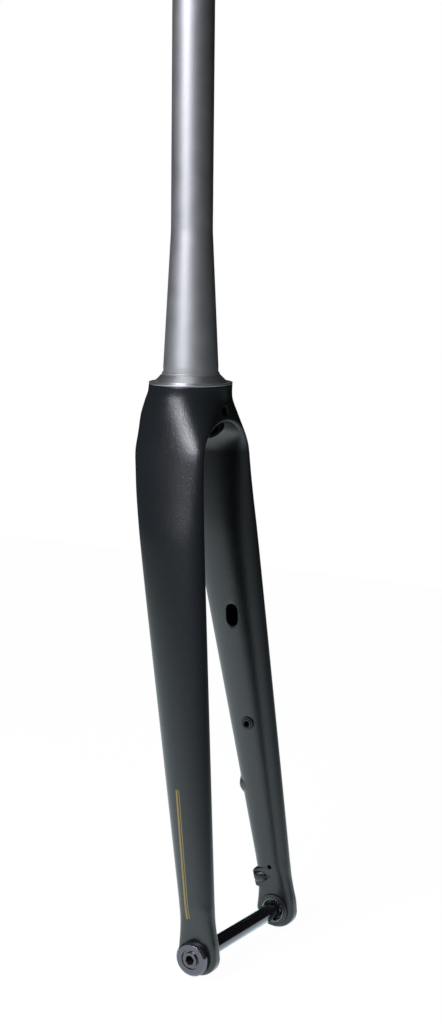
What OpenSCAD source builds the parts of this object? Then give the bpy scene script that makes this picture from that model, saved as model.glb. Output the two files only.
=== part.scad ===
// Disc-brake fork for a bicycle, with a bonded tapered steerer and a screwed through axle.
// Frame: the origin is the centre of the crown's top face, +Z runs up the steerer,
// +X is the rider's left and -Y is forwards. All sizes are in millimetres.
// "Drop" means a distance below the crown's top face.

/* [Steerer] */
// Height of the uncut steerer above the crown
steerer_len = 300; // [200:5:350]
// Outside diameter of the straight upper tube
steerer_d = 28.6; // [25.4:0.1:30]
// Wall of the straight upper tube
steerer_wall = 2.3; // [1.6:0.1:3]
// Outside diameter of the tube at the foot of its taper
steerer_foot_d = 38.1; // [36:0.1:39]
// Wall at the foot of the taper
steerer_foot_wall = 3; // [2.4:0.1:4]
// Height at which the taper ends and the straight tube begins
taper_top = 104; // [70:1:130]
// Diameter of the seat that the crown race is pressed on
race_seat_d = 39.8; // [39.4:0.1:40.6]
// Height of that seat
race_seat_h = 8; // [5:0.5:10]
// Depth that the steerer's foot is bonded into the crown
socket_depth = 12.6; // [10:0.2:13]

/* [Crown] */
// Diameter of the crown's round top
crown_d = 57.8; // [56:0.2:60]
// Drop of the arch's highest point
arch_drop = 25.8; // [25:0.2:28]
// Radius of the arch between the blades
arch_r = 24.4; // [23.5:0.1:25]
// Height of the rounded edge that runs round the arch
arch_lip = 7; // [5:0.5:8]
// Radius of the open hollow under the crown
hollow_r = 23.6; // [21:0.1:23.8]
// Diameter of the two mudguard holes, front and rear
mudguard_hole_d = 6.2; // [5:0.1:6.6]
// Drop of the mudguard holes
mudguard_hole_drop = 17.4; // [17:0.1:18]

/* [Blades] */
// Drop at which the straight blades begin
blade_top_drop = 109; // [100:1:125]
// Distance from the centre plane to a blade's outer side at its top
blade_top_out = 46.3; // [44:0.1:50]
// Width of a blade across the bicycle at its top
blade_top_w = 20.1; // [18:0.2:21]
// Depth of a blade from front to rear at its top
blade_top_depth = 50.5; // [46:0.2:54]
// Distance of a blade's centre in front of the steerer axis at its top
blade_top_fwd = 8.6; // [6:0.2:11]
// Width of a blade at its lower end
blade_end_w = 15; // [13:0.2:16]
// Depth of a blade at its lower end
blade_end_depth = 26.8; // [25:0.2:30]
// How far the middle of a blade bows out from a straight line
blade_bow = 0.2; // [0:0.1:2]
// Height above the axle at which a blade ends in its tip
blade_end_rise = 38; // [34:1:46]
// Wall of the hollow blades
blade_wall = 2.6; // [2:0.1:3]

/* [Axle and tips] */
// Drop of the wheel axle below the crown's top face
axle_drop = 389; // [375:1:405]
// Distance of the wheel axle in front of the steerer axis
rake = 44; // [40:1:50]
// Width between the faces that the hub sits against
hub_w = 100; // [98:1:110]
// Thickness of a tip at the axle
tip_t = 9.7; // [9:0.1:11]
// Radius of a tip round the axle
tip_r = 15.4; // [15:0.1:17]
// How far a tip's round end is centred in front of the axle
tip_fwd = 0.6; // [0:0.1:1.5]
// Diameter of the through axle
axle_d = 12; // [10:0.5:13]
// Diameter of the axle's head
axle_head_d = 22.4; // [20:0.2:24]
// Thickness of the axle's head
axle_head_t = 5; // [4:0.2:6]
// Width across the flats of the key socket in the head
key_af = 6; // [5:0.5:6.5]
// Thickness of the washer under the head
washer_t = 1; // [0.8:0.1:1.5]
// Diameter of the seat that locates the hub's end cap
hub_seat_d = 20.6; // [19:0.2:21.4]
// Depth of that seat
hub_seat_depth = 1.3; // [1:0.1:2]

/* [Brake and hose] */
// Drop of the upper brake bolt at the pad's face
brake_drop = 296; // [285:1:300]
// Distance between the two brake bolts
brake_spacing = 70; // [68:0.5:72]
// Lean of the brake pads' common face from upright, in degrees
brake_lean = 9.2; // [7:0.2:11]
// Distance of the pads' face in front of the steerer axis at the upper bolt
brake_face_fwd = 17.2; // [16.5:0.1:18.5]
// Diameter of a brake pad
brake_pad_d = 14.6; // [13:0.2:18]
// Drilling for the thread of an M5 insert
m5_bore_d = 4.2; // [4:0.1:4.6]
// Drop of the oval hose port in the left blade
port_drop = 166.8; // [160:1:175]
// Height of the hose port
port_h = 16; // [12:0.5:18]
// Width of the hose port
port_w = 9.4; // [7:0.2:10]
// Drop of the hose clip's insert
clip_drop = 246.8; // [235:1:255]

/* [Hidden] */

// Clearance of glued and pressed pieces, and of the axle in its holes
glue_gap = 0.04;
run_gap = 0.05;
// Overlap of cutting shapes past the surface that they cut
cut = 1;
round_fn = 96;

// Sections of the crown by drop: [drop, outer half width, half depth, centre in front]
arch_centre_drop = arch_drop + arch_r;
shoulder_drop = (arch_centre_drop + blade_top_drop) / 2 - 5;
crown_r = crown_d / 2;
crown_rows = [
    [0, crown_r, crown_r, 0],
    [5.5, crown_r + 0.5, crown_r - 0.1, -0.5],
    [11, crown_r + 1.7, crown_r + 0.2, -1.3],
    [21, crown_r + 2.9, crown_r + 0.3, -0.8],
    [35, crown_r + 5.7, crown_r - 0.6, 1.2],
    [arch_centre_drop + 1, crown_r + 8.4, crown_r - 1.5, 2.3],
    [shoulder_drop, blade_top_out - 5.1, blade_top_depth / 2 + 1.5, blade_top_fwd - 4.3]
];
blade_end_drop = axle_drop - blade_end_rise;
blade_mid_drop = (blade_top_drop + blade_end_drop) / 2;
tip_out = hub_w / 2 + tip_t;
blade_end_out = tip_out + 1.2;
blade_end_fwd = rake - 2.7;
blade_rows = [
    [blade_top_drop, blade_top_out, blade_top_depth / 2, blade_top_fwd],
    [blade_mid_drop, (blade_top_out + blade_end_out) / 2 + blade_bow,
        (blade_top_depth + blade_end_depth) / 4, (blade_top_fwd + blade_end_fwd) / 2],
    [blade_end_drop, blade_end_out, blade_end_depth / 2, blade_end_fwd]
];
tip_rows = [
    [axle_drop - 27, tip_out + 0.6, blade_end_depth / 2 - 0.5, rake - 1.3],
    [axle_drop - 17, tip_out + 0.1, blade_end_depth / 2 + 0.2, rake - 0.2],
    [axle_drop - 8, tip_out, tip_r - 0.7, rake + tip_fwd],
    [axle_drop, tip_out, tip_r, rake + tip_fwd]
];
outer_rows = concat(crown_rows, blade_rows, tip_rows);
// Inner side of a blade by drop
blade_top_in = blade_top_out - blade_top_w;
blade_end_in = blade_end_out - blade_end_w;
inner_rows = [
    [arch_centre_drop, arch_r],
    [shoulder_drop, arch_r + 0.5],
    [blade_top_drop, blade_top_in],
    [blade_mid_drop, (blade_top_in + blade_end_in) / 2],
    [blade_end_drop, blade_end_in],
    [axle_drop - 27, hub_w / 2 - 2.2],
    [axle_drop - 17, hub_w / 2 - 0.7],
    [axle_drop - 8, hub_w / 2],
    [axle_drop, hub_w / 2]
];
// Exponent of the section's oval by drop: 2 is an ellipse, and more is squarer
square_rows = [[0, 2], [20, 2.25], [blade_top_drop, 2.3], [blade_end_drop, 2.3],
    [axle_drop - 17, 3.6], [axle_drop, 5], [axle_drop + tip_r, 5]];
ridge_share = 0.48;
lip_square = 8;

// Numbers of steps round and along the skin
outer_steps = 22;
inner_steps = 14;
leg_ring = outer_steps + inner_steps;
arch_steps = 10;
blade_steps = 7;
tip_steps = 7;
end_steps = 6;

// Smooth curve through the points [x, y, ...] of rows, reading column c
function row_at(rows, x, i = 0) = (i >= len(rows) - 2 || x < rows[i + 1][0]) ? i : row_at(rows, x, i + 1);
function rise(rows, c, i) = (rows[i + 1][c] - rows[i][c]) / (rows[i + 1][0] - rows[i][0]);
function slope(rows, c, i) =
    i == 0 ? rise(rows, c, 0)
    : i == len(rows) - 1 ? rise(rows, c, i - 1)
    : (rows[i + 1][c] - rows[i - 1][c]) / (rows[i + 1][0] - rows[i - 1][0]);
function smooth(rows, x, c = 1) =
    let(i = row_at(rows, x), h = rows[i + 1][0] - rows[i][0], t = min(max((x - rows[i][0]) / h, 0), 1),
        t2 = t * t, t3 = t2 * t)
    (2 * t3 - 3 * t2 + 1) * rows[i][c] + (t3 - 2 * t2 + t) * h * slope(rows, c, i)
        + (3 * t2 - 2 * t3) * rows[i + 1][c] + (t3 - t2) * h * slope(rows, c, i + 1);
function mix(a, b, t) = a + (b - a) * t;
// Signed power, for the squared-off oval of a section
function power(v, n) = sign(v) * pow(abs(v), 2 / n);

// Sizes of the section at a drop
function out_at(drop) = smooth(outer_rows, drop, 1);
function half_depth(drop) = smooth(outer_rows, drop, 2);
function fwd_at(drop) = smooth(outer_rows, drop, 3);
function in_at(drop) = smooth(inner_rows, drop);
function square_at(drop) = lookup(drop, square_rows);
function ridge_at(drop) = in_at(drop) + ridge_share * (out_at(drop) - in_at(drop));

// Half width of the flat between the crown's two corners, which grows from nothing at the round
// top until each leg has a ridge of its own
leg_lip = ridge_at(arch_centre_drop) - arch_r;
flat_rows = [[0, 0], [5.5, 0.4], [11, 3], [21, 12.4], [35, arch_r - 0.6], [43, arch_r + leg_lip - 1.9],
    [arch_centre_drop, arch_r + leg_lip], [arch_centre_drop + 8, ridge_at(arch_centre_drop + 8)]];
function flat_at(drop) = drop < arch_centre_drop ? smooth(flat_rows, drop) : ridge_at(drop);
// Half depth of a section at a distance x from the centre plane
function depth_at(x, drop) =
    let(flat = flat_at(drop), n = square_at(drop), u = (x - flat) / (out_at(drop) - flat))
    half_depth(drop) * pow(1 - pow(min(max(u, 0), 1), n), 1 / n);

// Outer side of a section, from its front ridge round to its rear ridge
function outer_side(drop, ridge) =
    [for (i = [0:outer_steps])
        let(a = -90 + 180 * i / outer_steps, x = ridge + (out_at(drop) - ridge) * power(cos(a), square_at(drop)))
        [x, -fwd_at(drop) + sign(a) * depth_at(x, drop), -drop]];

// Inner side of a section, from its rear ridge to its front ridge without the two ends.
// lean is 0 on a blade, where the side stands upright, and 90 at the top of the arch.
function inner_side(lean, start, lip, n) =
    [for (i = [1:inner_steps - 1])
        let(a = 90 - 180 * i / inner_steps, off = lip * (1 - power(cos(a), n)),
            x = start[0] + off * cos(lean), drop = start[1] - off * sin(lean))
        [x, -fwd_at(drop) + depth_at(x, drop) * power(sin(a), n), -drop]];

// One whole loop on the arch, at an angle of lean round its centre
function arch_lip_at(lean) = mix(leg_lip, arch_lip, sin(lean));
function arch_ridge_drop(lean) = arch_centre_drop - (arch_r + arch_lip_at(lean)) * sin(lean);
function arch_loop(lean) =
    let(drop = arch_ridge_drop(lean), lip = arch_lip_at(lean))
    concat(
        outer_side(drop, (arch_r + lip) * cos(lean)),
        inner_side(lean, [arch_r * cos(lean), arch_centre_drop - arch_r * sin(lean)], lip,
            mix(square_at(drop), lip_square, pow(sin(lean), 4))));

// One whole loop on a blade or a tip
function blade_loop(drop) =
    concat(outer_side(drop, ridge_at(drop)),
        inner_side(0, [in_at(drop), drop], ridge_at(drop) - in_at(drop), square_at(drop)));

// One loop on the round end of a tip, at an angle below the axle
end_pull = 2.2;
tip_square = 5;
function end_loop(a) =
    let(pull = end_pull * pow(sin(a), 6), start = hub_w / 2 + pull, mid = mix(start, tip_out - pull, ridge_share))
    [for (i = [0:leg_ring - 1])
        let(outside = i <= outer_steps,
            b = outside ? -90 + 180 * i / outer_steps : 90 - 180 * (i - outer_steps) / inner_steps,
            half = outside ? tip_out - pull - mid : start - mid)
        [mid + half * power(cos(b), tip_square),
            -rake - tip_fwd + tip_r * cos(a) * power(sin(b), tip_square), -axle_drop - tip_r * sin(a)]];

// Full loop round the crown, above the arch
top_round = 0.8;
crown_top_drop = arch_ridge_drop(90);
function crown_loop(drop, inset) =
    let(side = outer_side(drop, 0), k = 1 - inset / crown_r, half = [for (p = side) [p[0] * k, p[1] * k, p[2]]])
    concat(half, [for (i = [outer_steps - 1:-1:1]) [-half[i][0], half[i][1], half[i][2]]]);
crown_levels = concat([[0, top_round], [0.25, top_round * 0.3], [top_round, 0]],
    [for (d = [3.5:3:15.5]) [d, 0]], [[crown_top_drop, 0]]);
crown_count = len(crown_levels);
crown_ring = 2 * outer_steps;

blade_drops = [for (i = [1:4]) mix(arch_centre_drop, blade_top_drop, i / 4)];
long_drops = [for (i = [1:blade_steps]) mix(blade_top_drop, blade_end_drop, i / blade_steps)];
tip_drops = [for (i = [1:tip_steps]) mix(blade_end_drop, axle_drop, i / tip_steps)];
leg_loops = concat(
    [for (i = [1:arch_steps]) arch_loop(90 - 90 * i / arch_steps)],
    [for (d = concat(blade_drops, long_drops, tip_drops)) blade_loop(d)],
    [for (i = [1:end_steps]) end_loop(88 * (1 - pow(1 - i / end_steps, 1.4)))]);
leg_count = len(leg_loops);

// Numbering of the skin's points
apex_start = crown_count * crown_ring + 1;
left_start = apex_start + inner_steps - 1;
right_start = left_start + leg_count * leg_ring;
function leg_start(side) = side > 0 ? left_start : right_start;
function leg_point(side, j, i) =
    j >= 0 ? leg_start(side) + j * leg_ring + i % leg_ring
    : i % leg_ring > outer_steps ? apex_start + i % leg_ring - outer_steps - 1
    : (crown_count - 1) * crown_ring + (side > 0 ? i % leg_ring : (crown_ring - i % leg_ring) % crown_ring);
function turned(side, f) = side > 0 ? f : [f[2], f[1], f[0]];

module fork_skin() {
    apex = arch_loop(90);
    points = concat(
        [for (l = crown_levels) each crown_loop(l[0], l[1])],
        [[0, 0, 0]],
        [for (i = [outer_steps + 1:leg_ring - 1]) [0, apex[i][1], apex[i][2]]],
        [for (l = leg_loops) each l],
        [for (l = leg_loops) each [for (p = l) [-p[0], p[1], p[2]]]]);
    crown_faces = [for (j = [0:crown_count - 2], i = [0:crown_ring - 1])
        let(a = j * crown_ring + i, b = j * crown_ring + (i + 1) % crown_ring)
        each [[a, b, a + crown_ring], [b, b + crown_ring, a + crown_ring]]];
    top_faces = [for (i = [0:crown_ring - 1]) [apex_start - 1, (i + 1) % crown_ring, i]];
    leg_faces = [for (side = [1, -1], j = [-1:leg_count - 2], i = [0:leg_ring - 1])
        let(a = leg_point(side, j, i), b = leg_point(side, j, i + 1),
            c = leg_point(side, j + 1, i), d = leg_point(side, j + 1, i + 1))
        each [turned(side, [a, b, c]), turned(side, [b, d, c])]];
    end_faces = [for (side = [1, -1], i = [1:leg_ring - 2])
        turned(side, [leg_point(side, leg_count - 1, 0), leg_point(side, leg_count - 1, i),
            leg_point(side, leg_count - 1, i + 1)])];
    polyhedron(points = points, faces = concat(crown_faces, top_faces, leg_faces, end_faces), convexity = 8);
}

// Open hollow under the crown: a round room that narrows to the steerer's bore
neck_r = steerer_foot_d / 2 - steerer_foot_wall;
module crown_hollow() {
    rotate_extrude($fn = round_fn)
        polygon(concat(
            [[0, -socket_depth + cut], [neck_r, -socket_depth + cut], [neck_r, -socket_depth - 1.5]],
            [for (a = [0:10:90])
                [mix(neck_r, hollow_r, sin(a)), -mix(arch_drop + 1, socket_depth + 1.5, cos(a))]],
            [[hollow_r, -arch_drop - 7], [hollow_r - 1.4, -arch_drop - 15], [hollow_r - 9, -arch_drop - 28],
                [0, -arch_drop - 28]]));
}

// Hollow inside one blade, open to the crown's hollow at its top
hollow_steps = 20;
hollow_square = 2.3;
// The mouth's sections: [drop below the arch, inner side from the crown's hollow, width, half depth]
mouth_rows = [[4, -4, 4, 7], [8, -3.5, 7.5, 12], [16, 1.2, 5.4, 17]];
room_drops = [arch_centre_drop + 4, shoulder_drop, blade_top_drop, (blade_top_drop + blade_mid_drop) / 2,
    blade_mid_drop, (blade_mid_drop + blade_end_drop) / 2, blade_end_drop - 8];
room_foot_drop = axle_drop - 30;
function room_row(drop, outer_wall, edge_wall) =
    [drop, in_at(drop) + blade_wall, out_at(drop) - outer_wall, half_depth(drop) - edge_wall, fwd_at(drop)];
hollow_rows = concat(
    [for (r = mouth_rows)
        [arch_drop + r[0], hollow_r + r[1], hollow_r + r[1] + r[2], r[3], fwd_at(arch_drop + r[0])]],
    [for (d = room_drops) room_row(d, blade_wall, blade_wall + 0.6)],
    [room_row(room_foot_drop, blade_wall + 1.5, blade_wall + 2.4)]);
module blade_hollow() {
    count = len(hollow_rows);
    points = [for (r = hollow_rows, i = [0:hollow_steps - 1])
        let(a = 360 * i / hollow_steps, mid = (r[1] + r[2]) / 2)
        [mid + (r[2] - r[1]) / 2 * power(cos(a), hollow_square), -r[4] + r[3] * power(sin(a), hollow_square), -r[0]]];
    sides = [for (j = [0:count - 2], i = [0:hollow_steps - 1])
        let(a = j * hollow_steps + i, b = j * hollow_steps + (i + 1) % hollow_steps)
        each [[a, b, a + hollow_steps], [b, b + hollow_steps, a + hollow_steps]]];
    ends = [for (i = [1:hollow_steps - 2])
        each [[0, i + 1, i], [for (k = [0, i, i + 1]) (count - 1) * hollow_steps + k]]];
    polyhedron(points = points, faces = concat(sides, ends), convexity = 4);
}

// Places the children at a point with their +Z along a direction that leans in the Y-Z plane
module along_y(point, lean) {
    translate(point) rotate([-90 - lean, 0, 0]) children();
}

// Brake pads: two round bosses on the rear of the left blade, with one common leaning face
brake_x = (ridge_at(brake_drop) + ridge_at(brake_drop + brake_spacing)) / 2 - 0.6;
boss_h = 11;
boss_foot = 4;
brake_insert_r = 4;
brake_insert_len = 10;
function brake_point(i) = [brake_x, -brake_face_fwd - i * brake_spacing * sin(brake_lean),
    -brake_drop - i * brake_spacing * cos(brake_lean)];
module at_brake(i) {
    along_y(brake_point(i), brake_lean) children();
}
module brake_boss(i) {
    pad_r = brake_pad_d / 2;
    at_brake(i) rotate_extrude($fn = 48)
        polygon([[0, -boss_h], [brake_insert_r + 1, -boss_h], [pad_r - 0.5, -boss_foot], [pad_r, -boss_foot + 1.5],
            [pad_r, -0.8], [pad_r - 0.8, 0], [0, 0]]);
}

// A tube from z = 0 up, with a chamfer at both ends of its bore
module tube(h, r, bore, chamfer) {
    rotate_extrude($fn = round_fn)
        polygon([[bore + chamfer, 0], [r, 0], [r, h], [bore + chamfer, h], [bore, h - chamfer], [bore, chamfer]]);
}

// Threaded bushes of the two brake bolts
module brake_insert(i) {
    color("dimgray") at_brake(i) translate([0, 0, -brake_insert_len])
        tube(brake_insert_len, brake_insert_r, m5_bore_d / 2, 0.4);
}

// Hose clip insert: a flanged threaded bush, square to the leaning inner face of the left blade
clip_flange_r = 4.9;
clip_flange_h = 0.9;
clip_collar_r = 3.5;
clip_collar_h = 1.5;
clip_barrel_r = 3.4;
clip_len = 9;
clip_lean = atan((in_at(clip_drop + 5) - in_at(clip_drop - 5)) / 10);
module at_clip() {
    translate([in_at(clip_drop) - 0.1, -fwd_at(clip_drop), -clip_drop]) rotate([0, -90 - clip_lean, 0]) children();
}
module hose_clip_insert() {
    bore = m5_bore_d / 2;
    color("black") at_clip() rotate_extrude($fn = round_fn)
        polygon([[bore, -clip_len], [clip_barrel_r, -clip_len], [clip_barrel_r, 0], [clip_flange_r, 0],
            [clip_flange_r, clip_flange_h - 0.3], [clip_flange_r - 0.3, clip_flange_h],
            [clip_collar_r, clip_flange_h], [clip_collar_r, clip_collar_h],
            [bore + 0.4, clip_collar_h], [bore, clip_collar_h - 0.4]]);
}

// Oval port where the brake hose enters the left blade, and its exit at the rear
module oval_cutter(w, h, depth) {
    linear_extrude(height = depth, center = true) {
        square([w, h - w], center = true);
        for (s = [-1, 1]) translate([0, s * (h - w) / 2]) circle(d = w, $fn = 48);
    }
}
port_fwd = 16.8;
exit_drop = 258;
exit_w = 7;
exit_h = 15;
module hose_port() {
    translate([in_at(port_drop) - 1, -port_fwd, -port_drop]) rotate([0, 90, 0]) rotate([0, 0, 90])
        oval_cutter(port_w, port_h, 14);
}
module hose_exit() {
    translate([ridge_at(exit_drop), -fwd_at(exit_drop) + half_depth(exit_drop), -exit_drop]) rotate([90, 0, 0])
        oval_cutter(exit_w, exit_h, 12);
}
// Small hole for a lamp wire above the left tip
wire_hole_d = 3;
wire_hole_drop = 355.6;
wire_hole_fwd = 42;
module wire_hole() {
    translate([in_at(wire_hole_drop) - 2, -wire_hole_fwd, -wire_hole_drop]) rotate([0, 90, 0])
        cylinder(h = 6, d = wire_hole_d, $fn = 32);
}

// Sleeves of the mudguard holes, through the crown's front and rear walls
sleeve_wall = 1.2;
sleeve_r = mudguard_hole_d / 2 + sleeve_wall;
sleeve_in = 17.2;
function crown_face(front) = half_depth(mudguard_hole_drop) + (front > 0 ? 1 : -1) * fwd_at(mudguard_hole_drop);
module at_sleeve(front) {
    translate([0, 0, -mudguard_hole_drop]) rotate([front > 0 ? 90 : -90, 0, 0]) children();
}
module crown_sleeve(front) {
    color("dimgray") at_sleeve(front) translate([0, 0, sleeve_in])
        tube(crown_face(front) - sleeve_in - 0.3, sleeve_r, mudguard_hole_d / 2, 0.5);
}

// Inserts of the tips: a barrel through the tip, with a flange whose raised rim locates the hub
flange_r = hub_seat_d / 2 + 1.6;
flange_inset = 1.5;
barrel_r = axle_d / 2 + 2.5;
axle_bore_r = axle_d / 2 + run_gap;
module along_x(side) {
    translate([0, -rake, -axle_drop]) rotate([0, side * 90, 0]) children();
}
module axle_insert(side) {
    face = hub_w / 2;
    color("silver") along_x(side) rotate_extrude($fn = round_fn)
        polygon([[axle_bore_r, face], [hub_seat_d / 2, face], [hub_seat_d / 2 + 0.2, face - hub_seat_depth],
            [flange_r - 0.4, face - hub_seat_depth], [flange_r, face - hub_seat_depth + 0.4],
            [flange_r, face + flange_inset], [barrel_r, face + flange_inset], [barrel_r, tip_out], [axle_bore_r, tip_out]]);
}
module axle_insert_holes(side) {
    along_x(side) {
        translate([0, 0, hub_w / 2 - 5]) cylinder(h = 5 + flange_inset, r = flange_r + glue_gap, $fn = round_fn);
        translate([0, 0, hub_w / 2]) cylinder(h = tip_t + 4, r = barrel_r + glue_gap, $fn = round_fn);
    }
}

// The moulded body: crown, two hollow blades and two tips in one piece
module fork_body() {
    color("#23272b") difference() {
        union() {
            fork_skin();
            brake_boss(0);
            brake_boss(1);
        }
        translate([0, 0, -socket_depth])
            cylinder(h = socket_depth + cut, r = steerer_foot_d / 2 + glue_gap, $fn = round_fn);
        crown_hollow();
        blade_hollow();
        mirror([1, 0, 0]) blade_hollow();
        for (front = [1, -1]) at_sleeve(front)
            translate([0, 0, neck_r - 2]) cylinder(h = 30, r = sleeve_r + glue_gap, $fn = 48);
        hose_port();
        hose_exit();
        wire_hole();
        at_clip() translate([0, 0, -clip_len - 1])
            cylinder(h = clip_len + 3, r = clip_barrel_r + glue_gap, $fn = 48);
        for (i = [0, 1]) at_brake(i) translate([0, 0, -brake_insert_len - 0.5])
            cylinder(h = brake_insert_len + 2, r = brake_insert_r + glue_gap, $fn = 48);
        axle_insert_holes(1);
        axle_insert_holes(-1);
    }
}

// Steerer: a drawn aluminium tube, turned at its foot for the crown race
steerer_r = steerer_d / 2;
foot_r = steerer_foot_d / 2;
bore_r = steerer_r - steerer_wall;
module steerer() {
    color("silver") rotate_extrude($fn = round_fn)
        polygon([[neck_r, -socket_depth], [foot_r, -socket_depth], [foot_r, 0], [race_seat_d / 2, 0],
            [race_seat_d / 2, race_seat_h - 0.5], [race_seat_d / 2 - 0.5, race_seat_h], [foot_r, race_seat_h],
            [foot_r, race_seat_h + 4], [steerer_r, taper_top], [steerer_r, steerer_len - 0.6],
            [steerer_r - 0.6, steerer_len], [bore_r + 0.5, steerer_len], [bore_r, steerer_len - 0.5],
            [bore_r, taper_top + 8], [neck_r, race_seat_h + 4]]);
}

// Crown race: a ring pressed on the seat, with a flange over the crown and a cone for the bearing
race_flange_h = 1.2;
race_cone_r = 24.6;
race_h = 6.4;
module crown_race() {
    bore = race_seat_d / 2 + glue_gap;
    color("lightgray") rotate_extrude($fn = round_fn)
        polygon([[bore, 0], [crown_r - 0.2, 0], [crown_r, 0.3], [crown_r, race_flange_h - 0.3],
            [crown_r - 0.3, race_flange_h], [race_cone_r, race_flange_h], [race_cone_r, race_flange_h + 0.9],
            [race_cone_r - race_h + race_flange_h + 0.9, race_h], [bore, race_h]]);
}

// Star nut: a threaded core that holds two dished spring washers in the steerer's top
star_drop = 14;
star_core_r = 4.6;
star_core_h = 12;
star_petals = 8;
star_t = 0.8;
star_rise = 3;
module star_nut_core() {
    z = steerer_len - star_drop;
    color("silver") translate([0, 0, z - star_core_h]) tube(star_core_h, star_core_r, 2.5, 0.4);
}
module star_washer(z) {
    edge_r = bore_r - glue_gap;
    eye_r = star_core_r + glue_gap;
    color("gray") translate([0, 0, z]) difference() {
        rotate_extrude($fn = round_fn)
            polygon([[eye_r, 0], [eye_r + 1.6, 0], [edge_r, star_rise], [edge_r, star_rise + star_t],
                [eye_r + 1.4, star_t], [eye_r, star_t]]);
        for (i = [0:star_petals - 1]) rotate(i * 360 / star_petals)
            translate([eye_r + 2.4, -0.9, -1]) cube([edge_r, 1.8, star_rise + star_t + 2]);
    }
}

// Through axle: a hollow shaft with a screw thread in the left tip and a head on the right
groove_r = 6.7;
boss_r = 5.3;
boss_out = 2;
key_depth = 8;
axle_hollow_r = 3.2;
axle_end = 1.2;
module thru_axle() {
    seat = tip_out + washer_t;
    face = seat + axle_head_t;
    head_r = axle_head_d / 2;
    axle_r = axle_d / 2;
    color("#17181a") along_x(-1) difference() {
        rotate_extrude($fn = round_fn)
            polygon([[0, -tip_out - axle_end], [axle_r - 1, -tip_out - axle_end], [axle_r, -tip_out - axle_end + 1],
                [axle_r, seat], [head_r - 0.4, seat], [head_r, seat + 0.4], [head_r, face - 0.9],
                [head_r - 0.3, face - 0.3], [head_r - 0.9, face], [groove_r + 0.2, face], [groove_r, face - 0.3],
                [groove_r, face - 1.2], [boss_r, face - 1.2], [boss_r, face + boss_out - 0.5],
                [boss_r - 0.5, face + boss_out], [0, face + boss_out]]);
        translate([0, 0, face + boss_out - key_depth]) rotate(30)
            cylinder(h = key_depth + cut, d = key_af / cos(30), $fn = 6);
        translate([0, 0, -tip_out - axle_end - cut])
            cylinder(h = 2 * tip_out + axle_end - 4, r = axle_hollow_r, $fn = 48);
    }
}
module axle_washer() {
    color("silver") along_x(-1) translate([0, 0, tip_out])
        tube(washer_t, axle_head_d / 2 + 0.2, axle_bore_r + 0.1, 0.1);
}

fork_body();
steerer();
crown_race();
star_nut_core();
star_washer(steerer_len - star_drop - 3);  // star_washer_upper
star_washer(steerer_len - star_drop - star_core_h + 1.5);  // star_washer_lower
crown_sleeve(1);  // crown_sleeve_front
crown_sleeve(-1);  // crown_sleeve_rear
hose_clip_insert();
brake_insert(0);  // brake_insert_upper
brake_insert(1);  // brake_insert_lower
axle_insert(1);  // left_axle_insert
axle_insert(-1);  // right_axle_insert
thru_axle();
axle_washer();
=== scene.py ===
"""Looks of a disc-brake bicycle fork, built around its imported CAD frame.

Shapes are worked out in millimetres and put into meshes in metres. The origin is the centre of the
crown's top face, +Z runs up the steerer, +X is the rider's left and -Y is forwards.
"""

import math

import bmesh
import bpy
import numpy as np
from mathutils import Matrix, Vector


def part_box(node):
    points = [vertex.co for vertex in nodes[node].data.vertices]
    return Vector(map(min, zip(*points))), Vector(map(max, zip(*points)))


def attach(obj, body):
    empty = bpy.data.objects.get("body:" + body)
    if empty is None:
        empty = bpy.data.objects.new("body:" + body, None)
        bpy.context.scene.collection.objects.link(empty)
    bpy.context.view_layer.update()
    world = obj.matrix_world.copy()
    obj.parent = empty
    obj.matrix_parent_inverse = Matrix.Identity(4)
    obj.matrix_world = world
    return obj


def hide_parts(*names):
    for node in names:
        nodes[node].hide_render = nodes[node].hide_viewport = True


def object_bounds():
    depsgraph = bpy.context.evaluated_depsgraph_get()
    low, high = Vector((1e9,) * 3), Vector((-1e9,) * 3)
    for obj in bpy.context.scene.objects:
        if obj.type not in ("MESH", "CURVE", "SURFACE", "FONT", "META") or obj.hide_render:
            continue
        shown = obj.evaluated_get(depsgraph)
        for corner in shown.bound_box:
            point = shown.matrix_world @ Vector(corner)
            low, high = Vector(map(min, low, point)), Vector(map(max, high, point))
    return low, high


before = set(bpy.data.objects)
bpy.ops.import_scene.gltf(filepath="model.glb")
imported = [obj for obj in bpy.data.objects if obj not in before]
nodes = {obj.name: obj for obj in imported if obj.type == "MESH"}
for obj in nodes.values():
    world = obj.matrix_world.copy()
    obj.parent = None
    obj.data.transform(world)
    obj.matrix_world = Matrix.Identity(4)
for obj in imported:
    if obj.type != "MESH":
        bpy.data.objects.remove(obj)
cad_low, cad_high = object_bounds()

# Camera
# A 68 mm lens to the right of the fork and in front of it, a little above the crown and looking
# down. The shift puts the fork to the left of the middle, as in a picture cut from a wider one.
camera_data = bpy.data.cameras.new("camera")
camera_data.lens = 67.87
camera_data.sensor_width = 36
camera_data.shift_x = 0.0774
camera_data.shift_y = 0.0522
camera_data.clip_start = 0.01
camera = bpy.data.objects.new("camera", camera_data)
camera.location = (-1.13125, -0.70448, 0.12435)
camera.rotation_euler = [math.radians(a) for a in (79.2732, -0.1823, -56.6177)]
bpy.context.scene.collection.objects.link(camera)
bpy.context.scene.camera = camera
bpy.context.scene.view_settings.view_transform = "Standard"

# Floor, backdrop and light
# A white studio table under the hanging fork, a soft box on the fork's right and a weaker one above,
# in a room that is otherwise dim, as a product is lit. The camera sees the room as white.


def linear(hex_colour):
    """Turns an sRGB colour such as '#8a8d90' into the linear RGBA that a shader takes."""
    values = np.array([int(hex_colour[i:i + 2], 16) for i in (1, 3, 5)]) / 255
    values = np.where(values <= 0.04045, values / 12.92, ((values + 0.055) / 1.055) ** 2.4)
    return (*values.tolist(), 1.0)


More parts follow.
